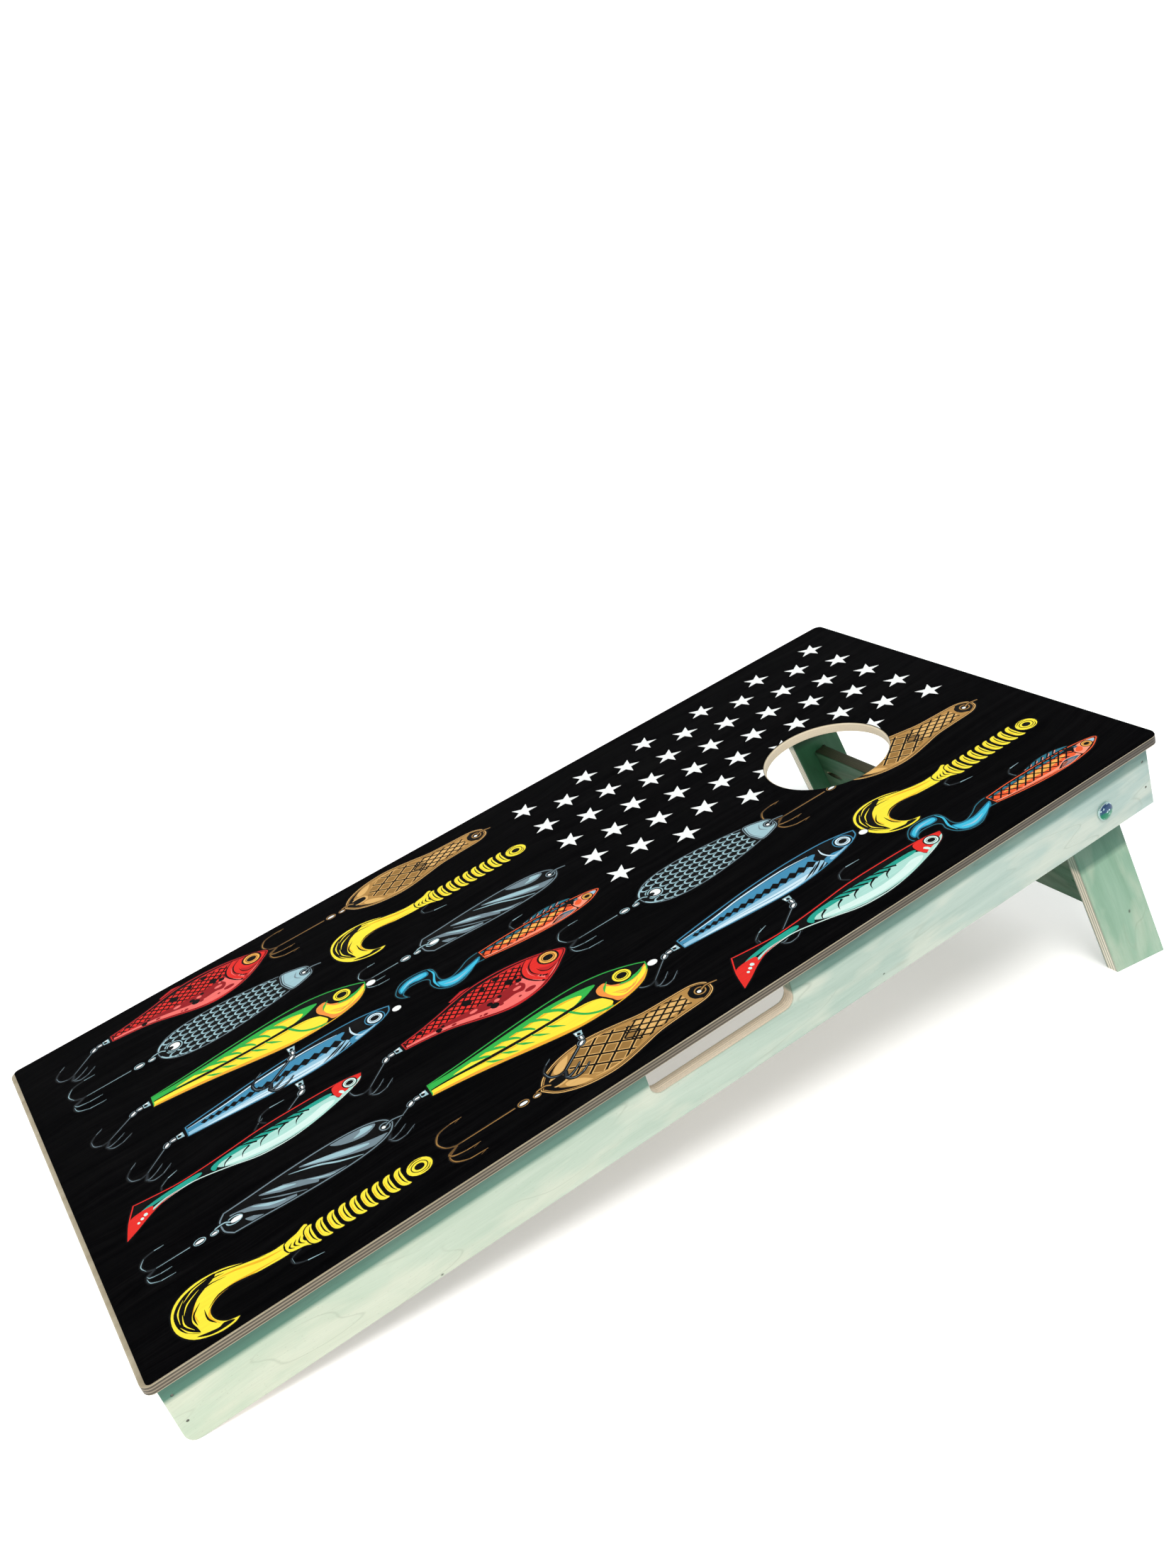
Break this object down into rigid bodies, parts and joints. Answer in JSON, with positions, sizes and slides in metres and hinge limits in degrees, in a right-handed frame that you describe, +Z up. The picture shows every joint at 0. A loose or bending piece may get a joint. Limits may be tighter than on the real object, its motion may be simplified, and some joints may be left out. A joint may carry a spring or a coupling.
{
  "type": "cornhole board",
  "caption": "Tilted plywood throwing board with a round bag hole, hand slots in its side rails and a folding leg frame, printed on top.",
  "frame": {"origin": "bottom centre of the standing board's bounding box, on the ground", "axes": "+Z up, +Y from the low end towards the high end, +X to the right looking up the board"},
  "size_m": [0.6096, 1.2434, 0.3047],
  "materials": {
    "print": "satin printed film",
    "deck_plywood": "sealed plywood, edges bare",
    "apron_plywood": "satin clear coat on pale plywood",
    "leg_plywood": "satin clear coat on pale plywood",
    "zinc": "bright zinc plate",
    "screw_steel": "yellowish zinc plate",
    "brad_steel": "bright wire"
  },
  "bodies": {
    "board": {"brad_front_left_1": "brad_steel", "brad_front_left_2": "brad_steel", "brad_front_right_1": "brad_steel", "brad_front_right_2": "brad_steel", "brad_rear_left_1": "brad_steel", "brad_rear_left_2": "brad_steel", "brad_rear_right_1": "brad_steel", "brad_rear_right_2": "brad_steel", "carriage_bolt_left": "zinc", "carriage_bolt_right": "zinc", "deck_panel": "deck_plywood", "deck_screw_front_1": "screw_steel", "deck_screw_front_2": "screw_steel", "deck_screw_left_1": "screw_steel", "deck_screw_left_2": "screw_steel", "deck_screw_left_3": "screw_steel", "deck_screw_rear_1": "screw_steel", "deck_screw_rear_2": "screw_steel", "deck_screw_right_1": "screw_steel", "deck_screw_right_2": "screw_steel", "deck_screw_right_3": "screw_steel", "front_apron": "apron_plywood", "lock_nut_left": "zinc", "lock_nut_right": "zinc", "nut_washer_left": "zinc", "nut_washer_right": "zinc", "printed_film": "print", "rear_apron": "apron_plywood", "side_apron_left": "apron_plywood", "side_apron_right": "apron_plywood", "spacer_washer_left": "zinc", "spacer_washer_right": "zinc"},
    "legs": {"leg_right": "leg_plywood", "leg_left": "leg_plywood", "leg_stretcher": "leg_plywood", "stretcher_screw_right": "screw_steel", "stretcher_screw_left": "screw_steel"}
  },
  "joints": [
    {"name": "leg_fold", "type": "hinge", "parent": "board", "child": "legs", "pos_m": [0, 0.50192, 0.23225], "axis": [-1, 0, 0], "range_deg": [0, 100.4]}
  ]
}
